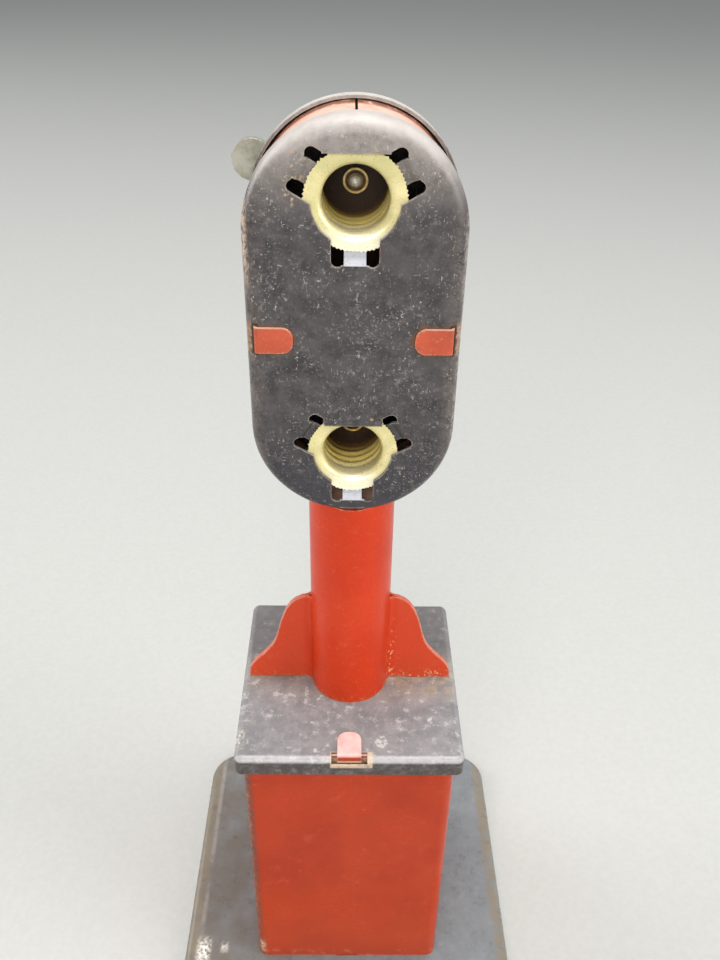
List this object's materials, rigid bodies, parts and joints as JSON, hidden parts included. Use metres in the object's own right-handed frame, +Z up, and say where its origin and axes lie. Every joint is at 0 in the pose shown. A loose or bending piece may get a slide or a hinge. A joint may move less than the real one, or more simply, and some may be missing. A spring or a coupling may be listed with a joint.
{
  "type": "toy two-lamp signal post",
  "caption": "Tinplate toy signal: square battery box on a base plate, tubular mast and an oval head with screw lamp sockets and a hand switch lever.",
  "frame": {"origin": "centre of the foot, on the ground", "axes": "+Z up the mast, -Y the side that the lamps face, +X to the right seen from the front"},
  "size_m": [0.0776, 0.0776, 0.191],
  "materials": {
    "black_enamel": "satin",
    "red_enamel": "satin",
    "socket_brass": "satin",
    "contact_brass": "satin",
    "solder": "polished",
    "zinc_plate": "satin",
    "brown_fibre": "matte",
    "card_tube": "matte",
    "paper_jacket": "matte",
    "cell_filling": "matte",
    "pitch_seal": "matte",
    "wire_tan": "matte",
    "wire_red": "matte",
    "wire_green": "matte"
  },
  "bodies": {
    "signal": {"base_plate": "black_enamel", "door_hinge_pin": "zinc_plate", "box_body": "red_enamel", "box_lid": "black_enamel", "cell_tube": "card_tube", "cell_jacket": "paper_jacket", "cell_can": "zinc_plate", "cell_core": "cell_filling", "cell_seal": "pitch_seal", "cell_cap": "contact_brass", "top_board": "brown_fibre", "positive_strip": "contact_brass", "positive_strip_rivets": "zinc_plate", "mast_front_shell": "red_enamel", "mast_rear_shell": "red_enamel", "head_band": "red_enamel", "head_front_plate": "black_enamel", "head_back_plate": "black_enamel", "socket_upper": "socket_brass", "socket_lower": "socket_brass", "insulator_upper": "brown_fibre", "insulator_lower": "brown_fibre", "contact_eyelet_upper": "contact_brass", "contact_eyelet_lower": "contact_brass", "contact_tip_upper": "solder", "contact_tip_lower": "solder", "pivot_bush": "brown_fibre", "pivot_bush_washer": "brown_fibre", "contact_board": "brown_fibre", "contact_board_rivets": "zinc_plate", "contact_stud_left": "contact_brass", "contact_stud_right": "contact_brass", "feed_tag": "contact_brass", "wire_battery": "wire_tan", "wire_upper_lamp": "wire_red", "wire_lower_lamp": "wire_green"},
    "battery_door": {"battery_door": "zinc_plate", "door_contact_leaf": "contact_brass", "door_leaf_rivets": "zinc_plate"},
    "switch_lever": {"switch_lever": "zinc_plate", "lever_pivot": "contact_brass", "lever_spring_washer": "contact_brass", "lever_wiper": "contact_brass"}
  },
  "joints": [
    {"name": "battery_door_hinge", "type": "hinge", "parent": "signal", "child": "battery_door", "pos_m": [0, 0.0204, 0.0013], "axis": [1, 0, 0], "range_deg": [0, 100]},
    {"name": "switch_lever_pivot", "type": "hinge", "parent": "signal", "child": "switch_lever", "pos_m": [0, 0.0095, 0.158], "axis": [0, 1, 0], "range_deg": [0, 72]}
  ]
}
